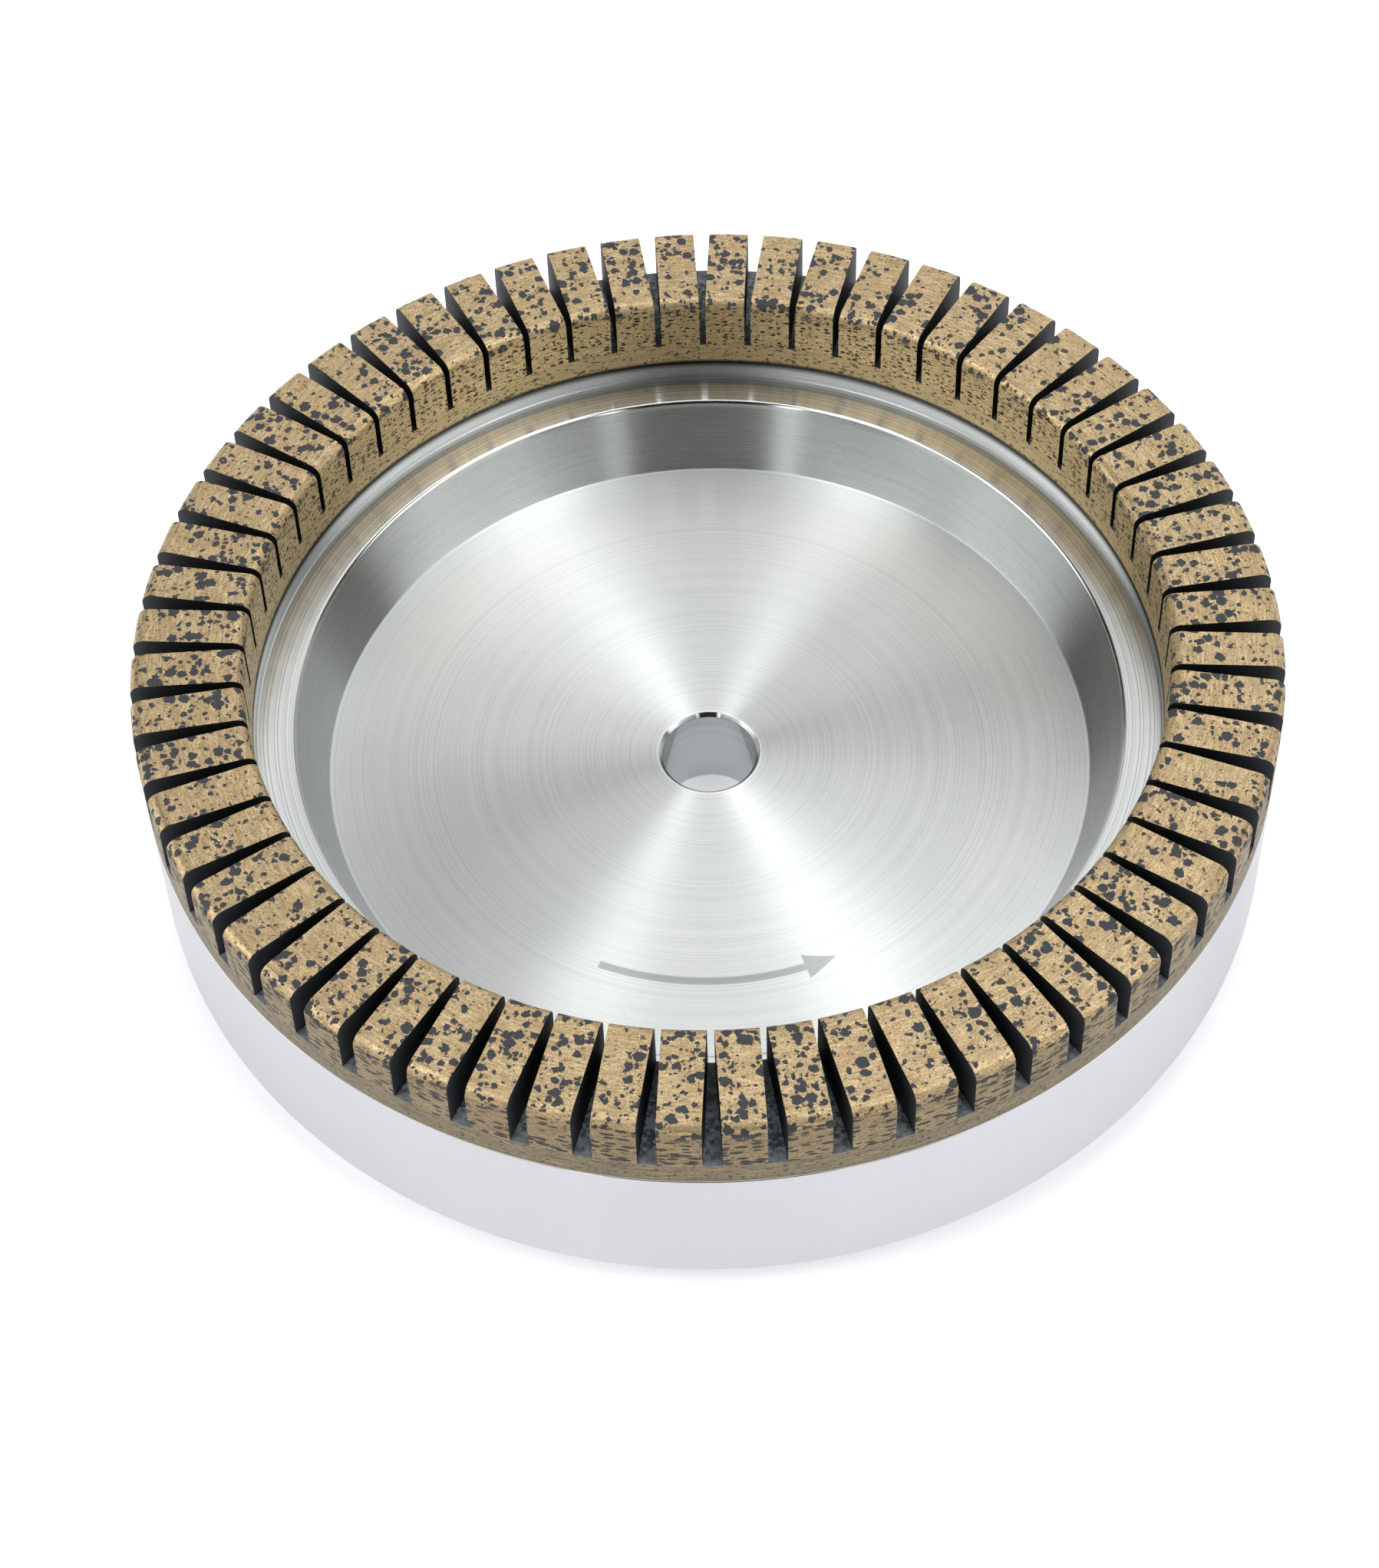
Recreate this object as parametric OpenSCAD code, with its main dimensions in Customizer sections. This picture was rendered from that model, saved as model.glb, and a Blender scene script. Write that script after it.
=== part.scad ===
// Segmented diamond cup wheel for grinding the edges of glass and stone.
// A turned aluminium cup carries a metal-bond diamond ring that radial slots cut into teeth.
// Millimetres. +Z is the wheel's axis, towards the teeth. The origin is the middle of the
// hub's back face, which is the face that seats on the machine's flange.

/* [Wheel] */
// Outer diameter of the wheel
wheel_d = 150; // [120:1:220]
// Height from the rim's back face to the grinding face
wheel_h = 34; // [28:0.5:50]
// Chamfer round the rim's back edge
back_edge = 1; // [0.2:0.1:3]

/* [Diamond ring] */
// Radial width of the diamond ring
ring_w = 14.7; // [9:0.1:20]
// Height of the teeth, which is the depth of the slots
tooth_h = 8.2; // [5:0.1:11]
// Number of teeth round the ring, in pairs
tooth_count = 60; // [48:2:72]
// Width of a slot at its narrow inner end
slot_w = 0.86; // [0.5:0.02:1.6]
// Radius of the rounded inner shoulder of a tooth
inner_shoulder_r = 1.4; // [0.4:0.1:2]
// Radius of the rounded outer shoulder of a tooth
outer_shoulder_r = 1.6; // [0.4:0.1:3]
// Height of the plain bronze ring that carries the teeth
backing_h = 3.5; // [2:0.1:5]
// Radius of the backing ring's outer lower lip
lip_r = 0.5; // [0.2:0.1:1.5]
// Thickness of the bond between the backing ring and the rim
bond_t = 0.3; // [0.1:0.05:0.5]
// How far the bond stays back from both walls of the ring
bond_gap = 0.3; // [0.1:0.05:0.6]

/* [Cup] */
// Thickness of the cup's floor plate
floor_t = 9.5; // [6:0.5:12]
// Drop from the ring's seat to the inner ledge
ledge_drop = 2.2; // [1.5:0.1:3]
// Radial width of the inner ledge
ledge_w = 5.1; // [3:0.1:8]
// How far the ledge falls from its corner to its edge
ledge_fall = 0.3; // [0:0.1:1]
// Fillet in the corner of the ledge
ledge_r = 0.6; // [0.4:0.1:1.4]
// How far the cup's wall leans in from the ledge to the floor
wall_lean = 3.8; // [1:0.1:6]

/* [Hub and bore] */
// Diameter of the centre bore
bore_d = 12.7; // [10:0.1:25.4]
// Chamfer at both ends of the bore
bore_edge = 0.5; // [0.2:0.1:1.5]
// Diameter of the raised hub on the back
hub_d = 50; // [36:1:80]
// Height of the raised hub on the back
hub_h = 4.5; // [1:0.1:8]
// Chamfer round the hub's face
hub_edge = 0.6; // [0.2:0.1:0.9]

/* [Hidden] */
round_fn = 180;
arc_steps = 6;

wheel_r = wheel_d / 2;
ring_in_r = wheel_r - ring_w;
bore_r = bore_d / 2;
hub_r = hub_d / 2;

// Heights above the hub's back face
rim_z = hub_h;
floor_z = rim_z + floor_t;
top_z = rim_z + wheel_h;
tooth_z = top_z - tooth_h;
backing_z = tooth_z - backing_h;
seat_z = backing_z - bond_t;
ledge_z = seat_z - ledge_drop;

// Radii of the cup's inside
ledge_in_r = ring_in_r - ledge_w;
floor_r = ledge_in_r - wall_lean;

// Teeth have parallel sides, so each slot is narrowest where its two teeth's inner corners meet
pitch = 360 / tooth_count;
pair_count = tooth_count / 2;
tooth_w = 2 * ring_in_r * sin(pitch / 2) - slot_w;

function pair_name(k) = str("tooth_pair_", k < 10 ? "0" : "", k);

// Points along an arc, from angle a0 to angle a1 about (cx, cz)
function arc(cx, cz, r, a0, a1) = [
    for (i = [0 : arc_steps])
        let (a = a0 + (a1 - a0) * i / arc_steps)
            [cx + r * cos(a), cz + r * sin(a)]
];

// Half section of the cup, from the hub's face round the outside to the bore
body_section = concat(
    [
        [bore_r + bore_edge, 0],
        [hub_r - hub_edge, 0],
        [hub_r, hub_edge],
        [hub_r, rim_z],
        [wheel_r - back_edge, rim_z],
        [wheel_r, rim_z + back_edge],
        [wheel_r, seat_z],
        [ring_in_r, seat_z]
    ],
    arc(ring_in_r - ledge_r, ledge_z + ledge_r, ledge_r, 0, -90),
    [
        [ledge_in_r, ledge_z - ledge_fall],
        [floor_r, floor_z],
        [bore_r + bore_edge, floor_z],
        [bore_r, floor_z - bore_edge],
        [bore_r, bore_edge]
    ]
);

// One-piece turned cup with the ring's seat, the inner ledge, the bore and the hub
module wheel_body() {
    color("gainsboro")
        rotate_extrude($fn = round_fn)
            polygon(body_section);
}

// Thin bond that holds the ring on its seat, a little back from both walls
module bond_layer() {
    color("dimgray")
        translate([0, 0, seat_z])
            rotate_extrude($fn = round_fn)
                translate([ring_in_r + bond_gap, 0])
                    square([ring_w - 2 * bond_gap, bond_t]);
}

// Plain bronze ring under the slots, with a rounded lower lip outside
module backing_ring() {
    lip = arc(wheel_r - lip_r, lip_r, lip_r, -90, 0);
    section = concat([[ring_in_r, 0]], lip, [[wheel_r, backing_h], [ring_in_r, backing_h]]);
    color("darkkhaki")
        translate([0, 0, backing_z])
            rotate_extrude($fn = round_fn)
                polygon(section);
}

// Section of the toothed ring, with a rounded shoulder on either side
module tooth_section() {
    outer = arc(wheel_r - outer_shoulder_r, tooth_h - outer_shoulder_r, outer_shoulder_r, 0, 90);
    inner = arc(ring_in_r + inner_shoulder_r, tooth_h - inner_shoulder_r, inner_shoulder_r, 90, 180);
    polygon(concat([[ring_in_r, 0], [wheel_r, 0]], outer, inner));
}

// One tooth along +X: a parallel strip of the toothed ring
module tooth() {
    translate([0, 0, tooth_z])
        intersection() {
            rotate([0, 0, -pitch / 2])
                rotate_extrude(angle = pitch, $fn = round_fn)
                    tooth_section();
            translate([0, -tooth_w / 2, 0])
                cube([wheel_d, tooth_w, tooth_h]);
        }
}

// Two neighbouring teeth, as separate solids
module tooth_pair(k) {
    color("tan")
        for (i = [2 * k - 2, 2 * k - 1])
            rotate([0, 0, i * pitch])
                tooth();
}

wheel_body();
bond_layer();
backing_ring();
for (k = [1 : pair_count]) tooth_pair(k);
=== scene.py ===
# Diamond cup wheel for grinding the edges of glass and stone, in metres, in the part's own frame:
# the wheel's axis is Z, the teeth are at the top, and z = 0 is the hub's back face.

from math import cos, degrees, pi, radians, sin, sqrt, tan

import bmesh
import bpy
from mathutils import Matrix, Vector


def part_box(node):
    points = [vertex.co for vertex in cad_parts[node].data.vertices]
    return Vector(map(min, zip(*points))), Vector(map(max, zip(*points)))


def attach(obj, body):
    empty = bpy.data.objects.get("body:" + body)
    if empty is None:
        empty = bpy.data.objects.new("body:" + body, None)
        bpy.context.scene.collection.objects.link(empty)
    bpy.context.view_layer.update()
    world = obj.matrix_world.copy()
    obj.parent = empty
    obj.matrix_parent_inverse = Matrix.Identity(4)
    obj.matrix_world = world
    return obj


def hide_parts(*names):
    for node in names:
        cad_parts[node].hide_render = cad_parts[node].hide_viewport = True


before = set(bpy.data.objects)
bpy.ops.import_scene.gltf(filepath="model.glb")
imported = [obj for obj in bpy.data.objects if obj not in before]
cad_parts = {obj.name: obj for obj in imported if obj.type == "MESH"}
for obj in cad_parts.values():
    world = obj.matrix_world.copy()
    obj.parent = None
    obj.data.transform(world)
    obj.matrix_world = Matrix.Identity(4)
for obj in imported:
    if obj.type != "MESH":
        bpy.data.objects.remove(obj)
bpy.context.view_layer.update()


# ---------------------------------------------------------------- Wheel body
# The cup that carries the diamond ring: one piece of aluminium, turned all over on a lathe.
# Outside wall, ring seat, inner ledge, leaning inner wall, flat floor, chamfered bore, and a
# raised hub on the back. The tool leaves fine rings, so every face shines in fans.

MM = 0.001

body_low, body_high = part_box("wheel_body")
wheel_r = body_high[0] / MM
seat_z = body_high[2] / MM
hub_r, hub_z = 25.0, 4.5
floor_r, floor_z = 51.4, 14.0
ledge_r, ledge_z, ledge_fall = 55.2, 24.3, 0.3
ring_r = 60.3
bore_r, bore_chamfer = 6.35, 0.5
back_chamfer, hub_chamfer = 1.0, 0.6
hub_fillet, ledge_fillet = 0.5, 0.45
broken_edge, lip_edge, floor_edge = 0.12, 0.55, 0.25
ring_marks = 0.004


def rounded(corners, steps=4, hold=0.04):
    """The section's corners (radius, height, rounding in mm), each turned into an arc.
    A point just outside each end of an arc keeps the flats beside it flat when shaded."""
    points = []
    for i, (r, z, rounding) in enumerate(corners):
        here = Vector((r, z))
        before = Vector(corners[i - 1][:2])
        after = Vector(corners[(i + 1) % len(corners)][:2])
        a, b = (before - here).normalized(), (after - here).normalized()
        half = a.angle(b) / 2
        reach = rounding / tan(half)
        centre = here + (a + b).normalized() * (rounding / sin(half))
        start, end = here + a * reach - centre, here + b * reach - centre
        turn = start.angle_signed(end)
        points.append(here + a * (reach + hold))
        for k in range(steps + 1):
            points.append(centre + Matrix.Rotation(-turn * k / steps, 2) @ start)
        points.append(here + b * (reach + hold))
    return points


def put_in(name, data):
    """An object that holds this mesh or camera, at the origin and unturned."""
    made = bpy.data.objects.new(name, data)
    bpy.context.collection.objects.link(made)
    return made


def turned(name, section, steps=360):
    """A solid of revolution about Z from a closed section that runs anticlockwise, in mm."""
    count = len(section)
    rings = [(cos(2 * pi * k / steps), sin(2 * pi * k / steps)) for k in range(steps)]
    points = [(p.x * c * MM, p.x * s * MM, p.y * MM) for c, s in rings for p in section]
    faces = []
    for k in range(steps):
        here, there = k * count, (k + 1) % steps * count
        for i in range(count):
            j = (i + 1) % count
            faces.append((here + i, there + i, there + j, here + j))
    mesh = bpy.data.meshes.new(name)
    mesh.from_pydata(points, [], faces)
    mesh.shade_smooth()
    return put_in(name, mesh)


class Wire:
    """One socket of a node tree. Sums on wires add the Math nodes that work them out."""

    def __init__(self, nodes, socket):
        self.nodes = nodes
        self.socket = socket

    def sum(self, operation, *values):
        inputs = dict(enumerate(values))
        return self.nodes.node("ShaderNodeMath", {"operation": operation}, inputs)

    def __add__(self, other):
        return self.sum("ADD", self, other)

    def __radd__(self, other):
        return self.sum("ADD", other, self)

    def __sub__(self, other):
        return self.sum("SUBTRACT", self, other)

    def __rsub__(self, other):
        return self.sum("SUBTRACT", other, self)

    def __mul__(self, other):
        return self.sum("MULTIPLY", self, other)

    def __rmul__(self, other):
        return self.sum("MULTIPLY", other, self)

    def __truediv__(self, other):
        return self.sum("DIVIDE", self, other)

    def __pow__(self, other):
        return self.sum("POWER", self, other)

    def __abs__(self):
        return self.sum("ABSOLUTE", self)

    def most(self, other):
        """The larger of the two at each point."""
        return self.sum("MAXIMUM", self, other)

    def angle_from(self, other):
        return self.sum("ARCTAN2", self, other)

    def rise(self, low, high):
        """0 below low and 1 above high, with a smooth step between."""
        steps = {"Value": self, "From Min": low, "From Max": high}
        return self.nodes.node("ShaderNodeMapRange", {"interpolation_type": "SMOOTHSTEP"}, steps)

    def band(self, low, high, soft):
        """1 between low and high, fading to 0 on both sides."""
        return self.rise(low - soft, low + soft) * (1 - self.rise(high - soft, high + soft))


class Nodes:
    """A node tree being wired."""

    def __init__(self, tree):
        self.tree = tree
        tree.nodes.clear()

    def node(self, kind, settings=None, inputs=None, out=0):
        """Adds a node: its settings first, then its sockets' values or links."""
        made = self.tree.nodes.new(kind)
        for key, value in (settings or {}).items():
            setattr(made, key, value)
        for key, value in (inputs or {}).items():
            if isinstance(value, Wire):
                self.tree.links.new(value.socket, made.inputs[key])
            else:
                made.inputs[key].default_value = value
        return Wire(self, made.outputs[out] if made.outputs else None)

    def parts(self, vector):
        """The three numbers of a vector or a colour, as wires."""
        first = self.node("ShaderNodeSeparateXYZ", {}, {0: vector})
        return [Wire(self, socket) for socket in first.socket.node.outputs]

    def place(self):
        """The point on the piece, in mm, as a vector wire."""
        point = self.node("ShaderNodeTexCoord", out="Object")
        return self.node("ShaderNodeVectorMath", {"operation": "SCALE"}, {0: point, "Scale": 1 / MM})

    def vector(self, x, y, z):
        return self.node("ShaderNodeCombineXYZ", {}, {0: x, 1: y, 2: z})

    def noise(self, vector, scale, detail=2.0, roughness=0.5):
        """An uneven value between 0 and 1, with this many lumps to a millimetre."""
        inputs = {"Vector": vector, "Scale": scale, "Detail": detail, "Roughness": roughness}
        return self.node("ShaderNodeTexNoise", {}, inputs)

    def rings(self, path, scale, detail=1.0):
        """A lathe's lines, uneven along the path that the tool took."""
        inputs = {"W": path, "Scale": scale, "Detail": detail}
        return self.node("ShaderNodeTexNoise", {"noise_dimensions": "1D"}, inputs)

    def bump(self, height, strength, deep):
        """A normal that reads the height as relief of this depth, in mm."""
        inputs = {"Strength": strength, "Distance": deep * MM, "Height": height}
        return self.node("ShaderNodeBump", {}, inputs)

    def blend(self, first, second, factor):
        """A colour between two colours."""
        inputs = {0: factor, 6: first, 7: second}
        return self.node("ShaderNodeMix", {"data_type": "RGBA"}, inputs, out=2)

    def surface(self, constants, varying):
        """The finish itself, from what is the same all over it and what changes over it."""
        shader = self.node("ShaderNodeBsdfPrincipled", {}, {**constants, **varying})
        self.node("ShaderNodeOutputMaterial", {}, {"Surface": shader})


def finish_nodes(name):
    """A new finish and its empty node tree."""
    material = bpy.data.materials.new(name)
    material.use_nodes = True
    return material, Nodes(material.node_tree)


def colour(code):
    """A shader colour from its web code."""
    values = [int(code[i:i + 2], 16) / 255 for i in (1, 3, 5)]
    return [v / 12.92 if v <= 0.04045 else ((v + 0.055) / 1.055) ** 2.4 for v in values] + [1.0]


def turned_aluminium():
    material, n = finish_nodes("turned_aluminium")
    point = n.place()
    x, y, z = n.parts(point)
    r = (x * x + y * y) ** 0.5

    # The lathe's rings run across every face, since each face changes in radius or in height
    path = r + z * 1.3
    fine = n.rings(path, 5.0, 2.0)
    middle = n.rings(path, 1.7)
    broad = n.rings(path, 0.7)
    smears = n.noise(point, 0.06, 3.0)
    specks = n.noise(point, 2.2, 2.0).rise(0.70, 0.76)

    # An arrow for the turning direction, etched on the floor where it can be read
    arrow_r, arrow_half, head_half = 37.4, 0.55, 1.9
    tail, neck, tip = -116.0, -74.0, -67.5
    turn = y.angle_from(x) * degrees(1)
    across = abs(r - arrow_r)
    shaft = turn.band(tail, neck, 0.15) * (1 - across.rise(arrow_half - 0.08, arrow_half + 0.08))
    taper = (tip - turn) * (head_half / (tip - neck))
    head = turn.band(neck, tip, 0.1) * (taper - across).rise(-0.06, 0.06)
    etched = shaft.most(head) * z.band(floor_z - 0.2, floor_z + 0.2, 0.05)

    # Where each face of the cup lies
    outside = r.rise(wheel_r - 0.6, wheel_r - 0.1)
    bore = 1 - r.rise(bore_r + 0.2, bore_r + 0.4)
    seat_wall = r.rise(ring_r - 0.5, ring_r - 0.1) * (1 - outside)
    floor = z.band(floor_z - 0.3, floor_z + 0.15, 0.05) * r.band(bore_r + 0.7, floor_r + 0.5, 0.3)
    leaning = r.band(floor_r, ledge_r - 0.3, 0.15) * z.band(floor_z, ledge_z, 0.2)

    # Bright bare metal, with painted shade that makes the steep faces (outside wall, leaning wall,
    # bore) darker, and darker lines where the tool cut deep
    metal = n.blend(colour("#e6e9e8"), colour("#d5dad9"), smears)
    metal = n.blend(metal, colour("#cbcdd1"), outside)
    metal = n.blend(metal, colour("#c6caca"), leaning)
    ledge = r.band(ledge_r + 0.3, ring_r - 0.6, 0.2) * z.rise(ledge_z - 0.6, ledge_z - 0.4)
    metal = n.blend(metal, colour("#7d8283"), ledge * (fine + middle).rise(0.9, 1.2) * 0.36)
    metal = n.blend(metal, colour("#c4c8c8"), bore)
    # Painted shade: the seat wall darkens towards its top, under the ring's inner edge
    metal = n.blend(metal, colour("#4b4943"), seat_wall * z.rise(seat_z - 1.1, seat_z + 0.2))
    metal = n.blend(metal, colour("#9ea3a4"), fine.rise(0.5, 0.75) * (0.22 - outside * 0.17))
    metal = n.blend(metal, colour("#a6abac"), middle.rise(0.5, 0.7) * (1 - outside) * 0.11)
    metal = n.blend(metal, colour("#a9adb0"), specks * 0.35)
    metal = n.blend(metal, colour("#8d9292"), etched * 0.68)
    rough = 0.12 + (fine + broad) * (0.05 - outside * 0.04)
    rough = rough + leaning * 0.11 + floor * 0.15 + outside * 0.08 + seat_wall * 0.40
    height = (fine * 0.6 + broad * 1.2) * (1 - outside)
    n.surface(
        {"Metallic": 1.0, "Anisotropic": 1.0, "Anisotropic Rotation": 0.25},
        {"Base Color": metal, "Roughness": rough, "Normal": n.bump(height, 1.0, ring_marks)},
    )
    return material


cup = turned("turned_cup", rounded([
    (bore_r + bore_chamfer, 0, broken_edge),
    (hub_r - hub_chamfer, 0, broken_edge),
    (hub_r, hub_chamfer, broken_edge),
    (hub_r, hub_z, hub_fillet),
    (wheel_r - back_chamfer, hub_z, broken_edge),
    (wheel_r, hub_z + back_chamfer, broken_edge),
    (wheel_r, seat_z, broken_edge),
    (ring_r, seat_z, broken_edge),
    (ring_r, ledge_z, ledge_fillet),
    (ledge_r, ledge_z - ledge_fall, lip_edge),
    (floor_r, floor_z, floor_edge),
    (bore_r + bore_chamfer, floor_z, broken_edge),
    (bore_r, floor_z - bore_chamfer, broken_edge),
    (bore_r, bore_chamfer, broken_edge),
]))
cup.data.materials.append(turned_aluminium())
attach(cup, "root")
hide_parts("wheel_body")


# ---------------------------------------------------------------- Bond
# The thin layer of braze between the bronze ring and the aluminium seat. Inside it stays a
# little back from the wall and shows as a fine black line; outside it is turned off flush.

bond_low, bond_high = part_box("bond_layer")
bond_gap = wheel_r - bond_high[0] / MM
flush_gap, bond_edge = 0.04, 0.05
bond = turned("bond_line", rounded([
    (ring_r + bond_gap, bond_low[2] / MM, bond_edge),
    (wheel_r - flush_gap, bond_low[2] / MM, bond_edge),
    (wheel_r - flush_gap, bond_high[2] / MM, bond_edge),
    (ring_r + bond_gap, bond_high[2] / MM, bond_edge),
], steps=2, hold=0.01))


def dark_bond():
    material, n = finish_nodes("dark_bond")
    point = n.place()
    x, y, _ = n.parts(point)
    r = (x * x + y * y) ** 0.5
    grain = n.noise(point, 3.0, 3.0)
    shade = n.blend(colour("#15130f"), colour("#3a3228"), grain)
    shade = n.blend(shade, colour("#a39b8a"), r.rise(wheel_r - 2, wheel_r - 1))
    n.surface({"Roughness": 0.8}, {"Base Color": shade, "Normal": n.bump(grain, 0.6, 0.05)})
    return material


bond.data.materials.append(dark_bond())
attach(bond, "root")
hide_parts("bond_layer")


# ---------------------------------------------------------------- Backing ring
# The plain bronze ring under the slots: pressed and sintered in one with the teeth, without
# diamond, and turned to the wheel's size. Painted shade turns the floors of the slots black inside.

ring_low, ring_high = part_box("backing_ring")
ring_z0, ring_z1 = ring_low[2] / MM, ring_high[2] / MM
lip_r = 0.35
inner_edge, sawn_edge = 0.1, 0.04


def plain_bronze():
    material, n = finish_nodes("plain_bronze")
    point = n.place()
    x, y, z = n.parts(point)
    r = (x * x + y * y) ** 0.5
    around = y.angle_from(x) * wheel_r

    lines = n.noise(n.vector(around * 0.16, r * 5, z * 5), 1.0, 3.0, 0.6)
    grain = n.noise(point, 1.6, 3.0)
    pits = n.noise(n.vector(around * 0.9, r * 1.2, z * 2.2), 1.5, 2.0).rise(0.57, 0.63)
    outside = r.rise(wheel_r - 1.5, wheel_r - 0.5)
    bronze = n.blend(colour("#978058"), colour("#e6cc9b"), lines)
    grey = n.blend(colour("#40392d"), colour("#8d836b"), lines.rise(0.25, 0.75))
    bronze = n.blend(bronze, grey, outside * 0.85)
    bronze = n.blend(bronze, colour("#2b241a"), pits * 0.8)
    # Painted shade: the inner side of the ring darkens towards its foot, just above the bond
    painted_foot_shade = (1 - z.rise(ring_z0 + 0.15, ring_z0 + 0.65)) * (1 - outside)
    bronze = n.blend(bronze, colour("#1c1812"), painted_foot_shade * 0.85)

    # Slot floors: sooty from the cut and rusty in a few, greyer at the open mouth, with painted shade
    # that turns them black towards the narrow inner end
    slot_floor = z.rise(ring_z1 - 0.06, ring_z1 - 0.02)
    mouth = r.rise(wheel_r - 2.6, wheel_r)
    rust = n.noise(point, 0.11, 1.0).rise(0.60, 0.68)
    soot_and_painted_shade = n.blend(colour("#5c666c"), colour("#c2ccd2"), grain.rise(0.35, 0.65))
    soot_and_painted_shade = n.blend(soot_and_painted_shade, colour("#74797e"), mouth * 0.8)
    soot_and_painted_shade = n.blend(soot_and_painted_shade, colour("#6a4a26"), rust * (0.35 + mouth * 0.4))
    # Painted shade: black towards the narrow inner end of each slot
    soot_and_painted_shade = n.blend(colour("#1f2226"), soot_and_painted_shade, r.rise(ring_r - 1, ring_r + 8))
    bronze = n.blend(bronze, soot_and_painted_shade, slot_floor)
    height = lines * 0.6 + grain * 0.5 - pits
    n.surface(
        {},
        {
            "Base Color": bronze,
            "Metallic": 0.75 - slot_floor * 0.6,
            "Roughness": 0.42 + grain * 0.12 + slot_floor * 0.1,
            "Normal": n.bump(height, 0.7, 0.02),
        },
    )
    return material


ring = turned("backing_band", rounded([
    (ring_r, ring_z0, inner_edge),
    (wheel_r, ring_z0, lip_r),
    (wheel_r, ring_z1, sawn_edge),
    (ring_r, ring_z1, sawn_edge),
], hold=0.02))
ring.data.materials.append(plain_bronze())
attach(ring, "root")
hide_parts("backing_ring")


# ---------------------------------------------------------------- Diamond teeth
# Sixty blocks of bronze loaded with diamond and graphite, left standing by the saw cuts.
# Their sides are parallel, so each slot is a wedge, narrowest inside. Both shoulders are worn
# round, and the cut sides are painted black as shade.

tooth_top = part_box("tooth_pair_01")[1][2] / MM
tooth_pairs = [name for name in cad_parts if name.startswith("tooth_pair_")]
tooth_count = 2 * len(tooth_pairs)
inner_shoulder, outer_shoulder, root_edge = 1.4, 1.6, 0.02
slot_width, worn_edge, uneven_height = 0.86, 0.09, 0.03
tooth_w = 2 * ring_r * sin(pi / tooth_count) - slot_width


def tooth_block():
    """One tooth along +X: its section in radius and height, swept straight across its width."""
    section = rounded([
        (ring_r, ring_z1, root_edge),
        (wheel_r, ring_z1, root_edge),
        (wheel_r, tooth_top, outer_shoulder),
        (ring_r, tooth_top, inner_shoulder),
    ], steps=6, hold=0.08)
    columns = 5
    block = bmesh.new()
    grid = []
    for k in range(columns):
        across = tooth_w * (k / (columns - 1) - 0.5)
        grid.append([
            block.verts.new((sqrt(p.x ** 2 - across ** 2) * MM, across * MM, p.y * MM)) for p in section
        ])
    count = len(section)
    for k in range(columns - 1):
        for i in range(count):
            j = (i + 1) % count
            block.faces.new((grid[k][i], grid[k + 1][i], grid[k + 1][j], grid[k][j]))
    block.faces.new(grid[0][::-1])
    block.faces.new(grid[-1])
    bmesh.ops.recalc_face_normals(block, faces=block.faces)
    mesh = bpy.data.meshes.new("tooth")
    block.to_mesh(mesh)
    block.free()
    tooth = put_in("tooth", mesh)
    edge = tooth.modifiers.new("worn_edge", "BEVEL")
    edge.width = worn_edge * MM
    edge.segments = 2
    edge.limit_method = "ANGLE"
    edge.angle_limit = radians(50)
    edge.harden_normals = True
    mesh.shade_smooth()
    return tooth


def teeth_tree():
    """Geometry Nodes: teeth set round the axis at an even pitch, each sunk by a hair."""
    tree = bpy.data.node_groups.new("set_teeth", "GeometryNodeTree")
    sockets = (
        ("Tooth", "NodeSocketObject"),
        ("Count", "NodeSocketInt"),
        ("Uneven height", "NodeSocketFloat"),
        ("Finish", "NodeSocketMaterial"),
        ("Seed", "NodeSocketInt"),
    )
    for name, kind in sockets:
        tree.interface.new_socket(name, in_out="INPUT", socket_type=kind)
    tree.interface.new_socket("Teeth", in_out="OUTPUT", socket_type="NodeSocketGeometry")
    n = Nodes(tree)
    given = n.node("NodeGroupInput").socket.node.outputs
    block = n.node("GeometryNodeObjectInfo", {}, {"Object": Wire(n, given["Tooth"])}, out="Geometry")
    index = n.node("GeometryNodeInputIndex")
    sink = n.node(
        "FunctionNodeRandomValue",
        {},
        {"Max": Wire(n, given["Uneven height"]), "ID": index, "Seed": Wire(n, given["Seed"])},
        out=1,
    )
    height = n.node("ShaderNodeMath", {"operation": "MULTIPLY"}, {0: sink, 1: -1.0})
    spot = n.node("ShaderNodeCombineXYZ", {}, {2: height})
    points = n.node("GeometryNodePoints", {}, {"Count": Wire(n, given["Count"]), "Position": spot})
    pitch = n.node("ShaderNodeMath", {"operation": "DIVIDE"}, {0: 2 * pi, 1: Wire(n, given["Count"])})
    turn = n.node("ShaderNodeMath", {"operation": "MULTIPLY"}, {0: index, 1: pitch})
    facing = n.node("FunctionNodeAxisAngleToRotation", {}, {"Axis": (0, 0, 1), "Angle": turn})
    placed = n.node(
        "GeometryNodeInstanceOnPoints", {}, {"Points": points, "Instance": block, "Rotation": facing}
    )
    solid = n.node("GeometryNodeRealizeInstances", {}, {0: placed})
    finished = n.node(
        "GeometryNodeSetMaterial", {}, {"Geometry": solid, "Material": Wire(n, given["Finish"])}
    )
    n.node("NodeGroupOutput", {}, {0: finished})
    return tree


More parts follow.
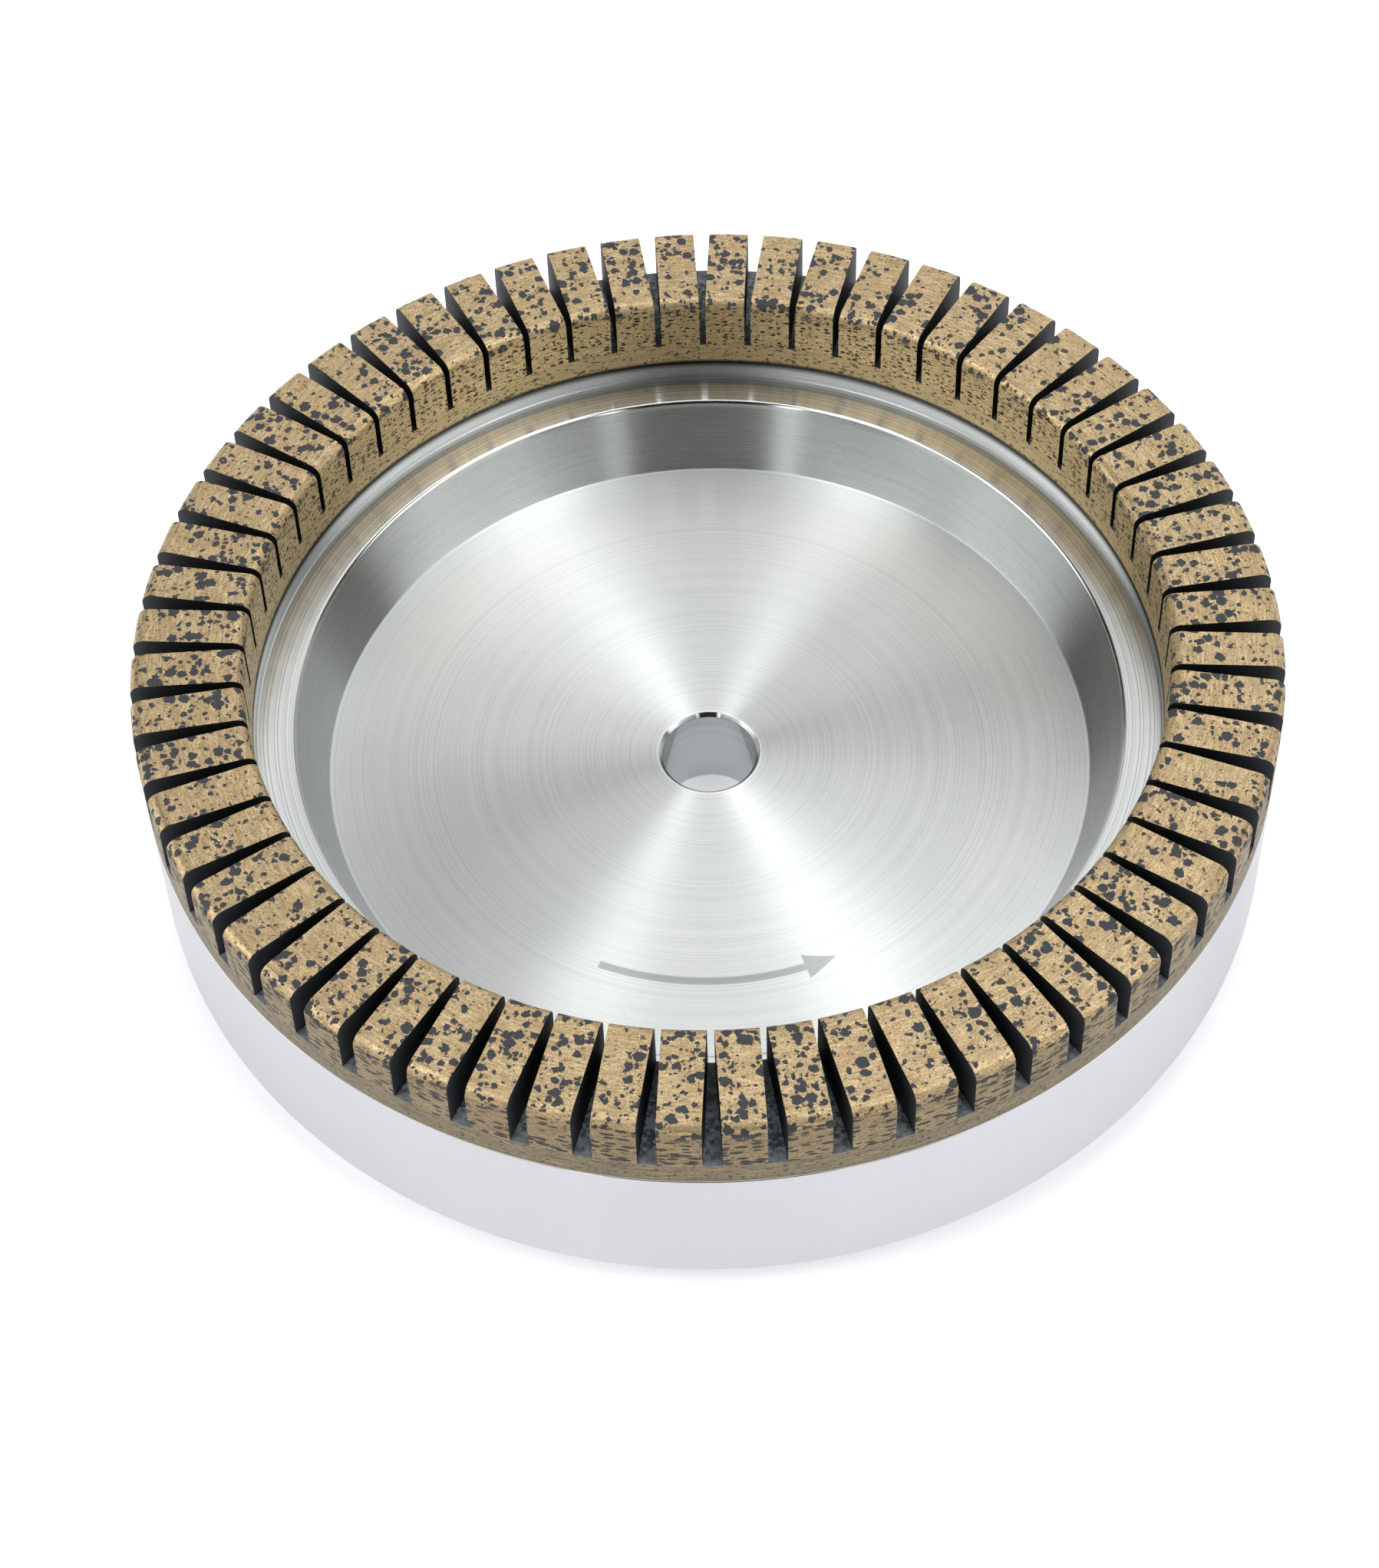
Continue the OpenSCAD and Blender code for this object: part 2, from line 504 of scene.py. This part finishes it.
def diamond_bronze():
    material, n = finish_nodes("diamond_bronze")
    point = n.place()
    x, y, z = n.parts(point)
    r = (x * x + y * y) ** 0.5
    around = y.angle_from(x) * wheel_r
    facing = n.node("ShaderNodeNewGeometry", out="Normal")
    nx, ny, nz = n.parts(facing)
    top = nz.rise(0.10, 0.85)
    side = abs(ny * x - nx * y) / r
    slot_wall = side.rise(0.55, 0.85)
    outside = (1 - top) * r.rise(wheel_r - 3, wheel_r - 2)
    inside = (1 - top) * (1 - outside)
    depth = (tooth_top - z) / (tooth_top - ring_z1)

    # Bronze with fine grinding streaks, a hard grain, a soft mottle and small painted highlights as
    # glints
    streaks = n.noise(n.vector(around * 0.5, r * 3.5, z * 3.5), 1.0, 4.0, 0.65)
    grain = n.noise(point, 4.5, 3.0, 0.7)
    mottle = n.noise(point, 0.45, 3.0)
    texture = (streaks * 0.45 + grain * 0.55).rise(0.30, 0.70)
    painted_glints = n.noise(n.vector(around * 0.6, r * 1.6, z * 1.6), 3.2, 2.0).rise(0.62, 0.72)
    # Painted light and shade: the tops are a lit copy of the bronze and the outer walls a darker shaded
    # copy
    lit_top_gold = n.blend(colour("#836a46"), colour("#f2d9ac"), texture)
    lit_top_gold = n.blend(lit_top_gold, colour("#ab926b"), mottle.rise(0.35, 0.7) * 0.45)
    inner_wall = n.blend(colour("#7d6740"), colour("#f0d29c"), texture)
    shaded_outer_wall = n.blend(colour("#5f523b"), colour("#aa946d"), texture)
    bronze = n.blend(inner_wall, shaded_outer_wall, outside)
    bronze = n.blend(bronze, lit_top_gold, top)
    # Painted highlights: small near-white glints, fainter on the outer wall
    bronze = n.blend(bronze, colour("#fff0cc"), painted_glints * (0.7 - outside * 0.5))

    # Graphite patches: one lump to a cell of space, cut flat wherever the surface meets it
    warp = n.node("ShaderNodeTexNoise", {}, {"Vector": point, "Scale": 1.5, "Detail": 2.0}, out="Color")
    bend = {0: warp, 1: (0.95, 0.95, 0.95), 2: point}
    bent = n.node("ShaderNodeVectorMath", {"operation": "MULTIPLY_ADD"}, bend)
    crowd = n.noise(point, 0.22, 1.0).rise(0.30, 0.70)

    def lumps(vector, per_mm, share, small, large, space="3D"):
        """Lumps in that share of the cells, each between the small and the large size."""
        cells = {"Vector": vector, "Scale": per_mm}
        near = n.node("ShaderNodeTexVoronoi", {"voronoi_dimensions": space}, cells, out="Distance")
        dice = n.node("ShaderNodeTexVoronoi", {"voronoi_dimensions": space}, cells, out="Color")
        luck, size, _ = n.parts(dice)
        reach = (small + size * (large - small)) * (share - luck).rise(-0.01, 0.01)
        return (reach - near).rise(-0.02, 0.03)

    large_lumps = lumps(bent, 0.68, 0.12 + crowd * 0.78, 0.26, 0.58)
    small_lumps = lumps(bent, 1.1, 0.12 + crowd * 0.48, 0.24, 0.50)
    patches = large_lumps.most(small_lumps)
    fade = top + outside * (1 - depth.rise(0.2, 0.5)) + inside * (1 - depth.rise(0.1, 0.35))
    patches = patches * fade.sum("MINIMUM", fade, 1.0)

    # Walls show the same graphite as short dashes and nicks that run round the ring
    dashes = lumps(n.vector(around * 0.42, z * 1.4, 0), 1.2, 0.4 + depth * 0.4, 0.22, 0.5, "2D")
    nicks = lumps(n.vector(around * 0.6, z * 1.6, 0), 1.2, 0.5, 0.12, 0.42, "2D")
    pits = lumps(n.vector(around * 0.7, r, z), 2.2, 0.30, 0.15, 0.42)
    dark = patches.most(dashes * outside)
    ash = n.blend(colour("#3d3f43"), colour("#1f1d19"), outside * 0.8)
    pits = (pits * (0.55 + inside * 0.45)).most(nicks * inside)
    bronze = n.blend(bronze, ash, dark)
    bronze = n.blend(bronze, colour("#1d1914"), pits)

    # The cut sides: painted shade, black deep in the slot and greyer towards the outside where light
    # falls in
    soot_and_painted_shade = n.blend(colour("#0d0f11"), colour("#32363a"), r.rise(wheel_r - 9, wheel_r))
    bronze = n.blend(bronze, soot_and_painted_shade, slot_wall)
    covered = dark.most(pits).most(slot_wall)
    height = streaks * 0.5 - dark * 0.5 - pits * 1.5
    n.surface(
        {},
        {
            "Base Color": bronze,
            "Metallic": 0.8 - covered * 0.6,
            "Roughness": 0.38 + mottle * 0.12 + covered * 0.15,
            "Normal": n.bump(height, 0.8, 0.03),
        },
    )
    return material


tooth = tooth_block()
teeth = put_in("diamond_teeth", bpy.data.meshes.new("diamond_teeth"))
setting = teeth.modifiers.new("set_teeth", "NODES")
setting.node_group = teeth_tree()
wanted = {
    "Tooth": tooth,
    "Count": tooth_count,
    "Uneven height": uneven_height * MM,
    "Finish": diamond_bronze(),
    "Seed": 7,
}
for item in setting.node_group.interface.items_tree:
    if item.in_out == "INPUT":
        setting[item.identifier] = wanted[item.name]
evaluated = teeth.evaluated_get(bpy.context.evaluated_depsgraph_get())
teeth_mesh = bpy.data.meshes.new_from_object(evaluated)
teeth.modifiers.clear()
teeth.data = teeth_mesh
bpy.data.objects.remove(tooth)
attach(teeth, "root")
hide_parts(*tooth_pairs)


# ---------------------------------------------------------------- Studio
# A pale table under soft light. Panels of light and dark stand round the wheel, as in any
# product studio, and give the turned metal something to show in its fans and walls.


def pale_table():
    material, n = finish_nodes("pale_table")
    n.surface(
        {
            "Base Color": (0.93, 0.93, 0.94, 1),
            "Roughness": 0.9,
            "Specular IOR Level": 0.1,
            "Emission Color": (0.97, 0.97, 1.0, 1),
            "Emission Strength": 0.35,
        },
        {},
    )
    return material


table_half = 4.0
table_mesh = bpy.data.meshes.new("table")
table_z = body_low[2]
table_mesh.from_pydata(
    [(-table_half, -table_half, table_z), (table_half, -table_half, table_z),
     (table_half, table_half, table_z), (-table_half, table_half, table_z)],
    [], [(0, 1, 2, 3)],
)
table = put_in("table", table_mesh)
table_mesh.materials.append(pale_table())

# Each panel: direction, half width, lowest and highest elevation, softness (degrees), light.
# Its width is the same all the way up, as a real panel's is.
panels = (
    (179, 18, 5, 44, 5, 2.4),
    (-15, 11, 5, 44, 5, 2.2),
    (-146, 11, 44, 74, 4, 3.9),
    (-32, 11, 44, 74, 4, 3.9),
    (88, 34, 62, 86, 4, 1.35),
    (125, 9, 60, 84, 4, 2.5),
    (55, 9, 60, 84, 4, 2.5),
    (122, 11, 30, 60, 5, 0.3),
    (-92, 41, -10, 44, 6, 0.3),
    (-114, 2.5, 0, 44, 1.5, 2.6),
    (-71, 2.5, 0, 44, 1.5, 1.9),
    (-92, 15.5, -10, 95, 3, 0.0),
    (10, 10.5, -10, 66, 3, 0.0),
    (143, 13, -10, 72, 3, 0.0),
)
low_light, high_light = 0.85, 1.35
world = bpy.data.worlds.new("studio")
world.use_nodes = True
bpy.context.scene.world = world
sky = Nodes(world.node_tree)
away = sky.node("ShaderNodeTexCoord", out="Generated")
ax, ay, az = sky.parts(away)
elevation = az.sum("ARCSINE", az) * degrees(1)
light = low_light + elevation.rise(44, 58) * (high_light - low_light)
for towards, half, low, high, soft, brightness in panels:
    along = ax * cos(radians(towards)) + ay * sin(radians(towards))
    across = abs(ax * sin(radians(towards)) - ay * cos(radians(towards)))
    inside = 1 - across.rise(sin(radians(half - soft)), sin(radians(half + soft)))
    mask = inside * along.rise(-0.01, 0.01) * elevation.band(low, high, soft)
    light = light * (1 - mask) + mask * brightness

# The panels light the wheel and show in its metal, but the backdrop behind it is plain white
backdrop = 1.0
seen = sky.node("ShaderNodeLightPath", out="Is Camera Ray")
light = light * (1 - seen) + seen * backdrop
background = sky.node("ShaderNodeBackground", {}, {"Color": (1, 1, 1, 1), "Strength": light})
sky.node("ShaderNodeOutputWorld", {}, {"Surface": background})

# The camera looks down into the cup, held very slightly askew
lens = 83.73
aim = Vector((-2.68, 5.28, 0.0)) * MM
heading, look_down, tilt = radians(1.67), radians(52.98), radians(2.11)
distance = 508.3 * MM
forward = Vector((sin(heading) * cos(look_down), cos(heading) * cos(look_down), -sin(look_down)))
level = forward.cross(Vector((0, 0, 1))).normalized()
down = forward.cross(level)
right = level * cos(tilt) + down * sin(tilt)
up = level * sin(tilt) - down * cos(tilt)
camera_data = bpy.data.cameras.new("camera")
camera_data.lens = lens
camera_data.clip_start = 0.01
camera = put_in("camera", camera_data)
axes = Matrix((right, up, -forward)).transposed()
camera.matrix_world = Matrix.Translation(aim - forward * distance) @ axes.to_4x4()
bpy.context.scene.camera = camera
bpy.context.scene.view_settings.view_transform = "Standard"
